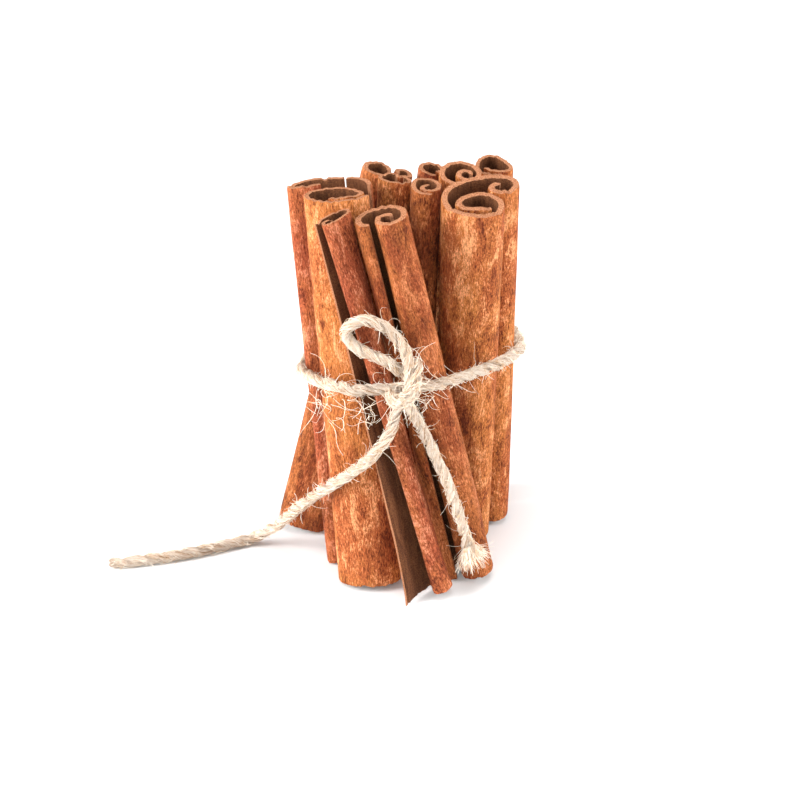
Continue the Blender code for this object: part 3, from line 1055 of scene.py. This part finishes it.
@dataclass
class Tie:
    """The twine round the bundle, its knot, the bow's one loop and the two tails."""

    bundle: Bundle

    def height(self, x: float, y: float) -> float:
        """Height of the tie's sloping plane above a place on the floor."""
        return TIE_HEIGHT + TIE_RISE[0] * x + TIE_RISE[1] * y

    def plan(self, offset: float) -> list[Vector]:
        """Plan of the bundle a little above or below the tie's plane.

        Args:
            offset: how far above the plane.

        Returns:
            A point on each lengthwise edge of each quill.
        """
        plan = []
        for quill in self.bundle.quills:
            foot, direction, sideways, away = quill.axes()
            foot = foot + Vector((0, 0, quill.lift()))
            third = direction * quill.length / 3
            for low, high in zip(quill.line_at(1 / 3), quill.line_at(2 / 3)):
                start = foot + third + sideways * low.x + away * low.y
                end = foot + 2 * third + sideways * high.x + away * high.y
                below = self.height(start.x, start.y) + offset - start.z
                above = end.z - self.height(end.x, end.y) - offset
                spot = start.lerp(end, below / (below + above))
                spot.z = quill.bark / 2
                plan.append(spot)
        return plan

    def ring_route(self) -> list[Vector]:
        """Line of the tie, drawn tight round the bundle from the front and closed."""
        directions = []
        for index in range(TIE_SIDES):
            angle = -math.pi / 2 + 2 * math.pi * index / TIE_SIDES
            directions.append(Vector((math.cos(angle), math.sin(angle), 0)))
        reaches = [0.0] * TIE_SIDES
        for lean in TIE_LEANS:
            plan = self.plan(TWINE / 2 * math.sin(math.radians(lean)))
            stand_off = TWINE / 2 * math.cos(math.radians(lean)) - TIE_BITE
            for index, out in enumerate(directions):
                reach = max(spot.x * out.x + spot.y * out.y + spot.z
                            for spot in plan) + stand_off
                reaches[index] = max(reaches[index], reach)
        corners = []
        for index, out in enumerate(directions):
            after = directions[(index + 1) % TIE_SIDES]
            reach_after = reaches[(index + 1) % TIE_SIDES]
            turn = out.cross(after).z
            x = (reaches[index] * after.y - reach_after * out.y) / turn
            y = (reach_after * out.x - reaches[index] * after.x) / turn
            corners.append(Vector((x, y, self.height(x, y))))
        loop = evenly(corners + [corners[0].copy()], TIE_CORNER_STEP)
        front = min(range(len(loop) // 2),
                    key=lambda index: abs(loop[index].x - KNOT_X) + 9 * max(0, loop[index].y))
        loop = loop[front:-1] + loop[:front + 1]
        return smooth_route(tuple(tuple(spot) for spot in loop))

    def tangle(self, dice: random.Random, centre: tuple, spread: float, count: int,
               longest: float) -> list[list[Vector]]:
        """Fibres that have come loose together and lie curled in a heap.

        Args:
            dice: where chance comes from.
            centre: middle of the heap.
            spread: how far the roots lie from it.
            count: number of fibres.
            longest: length of the longest.

        Returns:
            The fibres.
        """
        made = []
        for _ in range(count):
            root = Vector(centre) + Vector((dice.gauss(0, spread), dice.gauss(0, 0.0005),
                                            dice.gauss(0, spread)))
            way = Vector((dice.gauss(0, 1), dice.gauss(-0.1, 0.35), dice.gauss(0, 1)))
            made.append(curling_fibre(dice, root, way, dice.uniform(0.3, 1.0) * longest,
                                      dice.choice((-1, 1)) * dice.uniform(*HEAP_CURL)))
        return made

    def brush(self, dice: random.Random, route: list[Vector], count: int, length: float,
              spread: float) -> list[list[Vector]]:
        """Fibres that fan out of a strand's cut end.

        Args:
            dice: where chance comes from.
            route: the strand's route, which ends at the cut.
            count: number of fibres.
            length: length of the fan.
            spread: how widely it opens.

        Returns:
            The fibres.
        """
        made = []
        last = frames_along(route)[-1]
        for _ in range(count):
            angle = dice.uniform(0, 2 * math.pi)
            off = math.sqrt(dice.uniform(0, 1))
            out = outward(angle, last)
            root = route[-8] + out * off * TWINE * 0.42
            way = last[0] + out * off * spread + out * dice.gauss(0, 0.08)
            made.append(curling_fibre(dice, root, way, dice.uniform(0.55, 1.0) * length,
                                      dice.gauss(0, BRUSH_CURL)))
        return made

    def build(self) -> None:
        """Model and dress every length of twine."""
        jute = JuteFinish().material()
        fibre = FibreFinish().material()
        dice = random.Random(5)
        ring = Strand("twine_ring_plies", self.ring_route(), phase=0.4)
        dress(ring.build(), jute, ("twine_ring",))
        wrap = Strand("knot_wrap", smooth_route(KNOT_WRAP_ROUTE), phase=1.2, thickness=0.9)
        dress(wrap.build(), jute, ("twine_knot",))
        band = Strand("knot_band", smooth_route(KNOT_BAND_ROUTE), phase=2.4, thickness=0.8)
        dress(band.build(), jute)
        knot_fuzz = Fuzz("knot_fibres", wrap.route + band.route, 3.0, 1.6, 31, longest=0.0065)
        dress(knot_fuzz.build(self.tangle(dice, (0.0042, -0.0190, 0.0450), 0.0016, 26, 0.0060)),
              fibre)
        left_heap = self.tangle(dice, (-0.0118, -0.0178, 0.0432), 0.0022, 34, 0.0092)
        near_heap = self.tangle(dice, (-0.0050, -0.0190, 0.0415), 0.0018, 14, 0.0065)
        ring_fuzz = Fuzz("ring_fibres", ring.route, *LOOSE_PER_MM, 11)
        dress(ring_fuzz.build(left_heap + near_heap), fibre)
        loop = Strand("loop_plies", smooth_route(LOOP_ROUTE), phase=0.9)
        long_tail = Strand("long_tail_plies", smooth_route(LONG_TAIL_ROUTE), phase=0.2,
                           taper=0.30)
        short_tail = Strand("short_tail_plies", smooth_route(SHORT_TAIL_ROUTE), phase=1.7,
                            opened=0.0006)
        long_end = self.brush(dice, long_tail.route, 9, 0.0026, 0.3)
        short_end = self.brush(dice, short_tail.route, 260, 0.0054, 0.72)
        for node, strand, seed, longest, far_end, extra in (
                ("twine_loop", loop, 21, 0.0065, "object", []),
                ("twine_tail_long", long_tail, 22, 0.0060, "bare", long_end),
                ("twine_tail_short", short_tail, 23, 0.0055, "bare", short_end)):
            plies = strand.build()
            dress(plies, jute, (node,))
            fuzz = Fuzz(node.replace("twine_", "") + "_fibres", strand.route, *LOOSE_PER_MM,
                        seed, longest=longest).build(extra)
            dress(fuzz, fibre)
            round(length_of(strand.route), 4)


# ---- Studio ----


FLOOR_WHITE = (0.78, 0.78, 0.78)
ROOM_LIGHT = 0.16  # strength of the light from all round
SOFT_BOXES = (
    ("left_box", (-0.80, -0.22, 0.34), (0.4, 0.7), 19.0),
    ("right_box", (0.80, -0.14, 0.34), (0.4, 0.7), 11.0),
    ("top_box", (0.05, -0.10, 0.95), (0.6, 0.6), 7.0),
    ("front_box", (-0.25, -0.95, 0.62), (0.6, 0.5), 3.6),
)


@dataclass
class Studio:
    """White floor, soft light from both sides and from above, and the camera."""

    target: tuple = (0.0, -0.0020, 0.0340)
    elevation: float = 31.0
    distance: float = 0.60
    lens: float = 143.1

    def light(self, name: str, place: tuple, size: tuple, power: float) -> None:
        """Hang a soft box that faces the bundle.

        Args:
            name: its name.
            place: where it hangs.
            size: its width and height.
            power: its power, in watts.
        """
        lamp = bpy.data.lights.new(name, "AREA")
        lamp.shape = "RECTANGLE"
        lamp.size, lamp.size_y = size
        lamp.energy = power
        holder = place_in_scene(name, lamp)
        holder.location = place
        way = Vector((0, 0, 0.04)) - Vector(place)
        holder.rotation_euler = way.to_track_quat("-Z", "Y").to_euler()

    def build(self) -> None:
        """Set up the floor, the lights and the camera."""
        shape = bmesh.new()
        bmesh.ops.create_grid(shape, x_segments=1, y_segments=1, size=4.0)
        floor = new_piece("floor", shape, 30)
        floor.data.materials.append(Nodes("floor_white").finish(FLOOR_WHITE, 0.9, 0.0))
        world = bpy.data.worlds.new("studio")
        bpy.context.scene.world = world
        world.use_nodes = True
        background = world.node_tree.nodes["Background"]
        background.inputs["Color"].default_value = (1.0, 1.0, 1.0, 1.0)
        background.inputs["Strength"].default_value = ROOM_LIGHT
        for light in SOFT_BOXES:
            self.light(*light)
        bpy.context.scene.view_settings.view_transform = "Standard"
        data = bpy.data.cameras.new("camera")
        data.sensor_width = 36.0
        data.lens = self.lens
        data.clip_start = 0.01
        camera = place_in_scene("camera", data)
        rise = math.radians(self.elevation)
        back = Vector((0, -math.cos(rise), math.sin(rise)))
        camera.location = Vector(self.target) + back * self.distance
        camera.rotation_mode = "QUATERNION"
        camera.rotation_quaternion = (-back).to_track_quat("-Z", "Y")
        bpy.context.scene.camera = camera


def main() -> None:
    """Build the bundle and the tie, then the studio, and note the sizes."""
    logging.basicConfig(level=logging.INFO, format="%(message)s")
    bundle = Bundle()
    bundle.build()
    Tie(bundle).build()
    Studio().build()


if __name__ == "__main__":
    main()
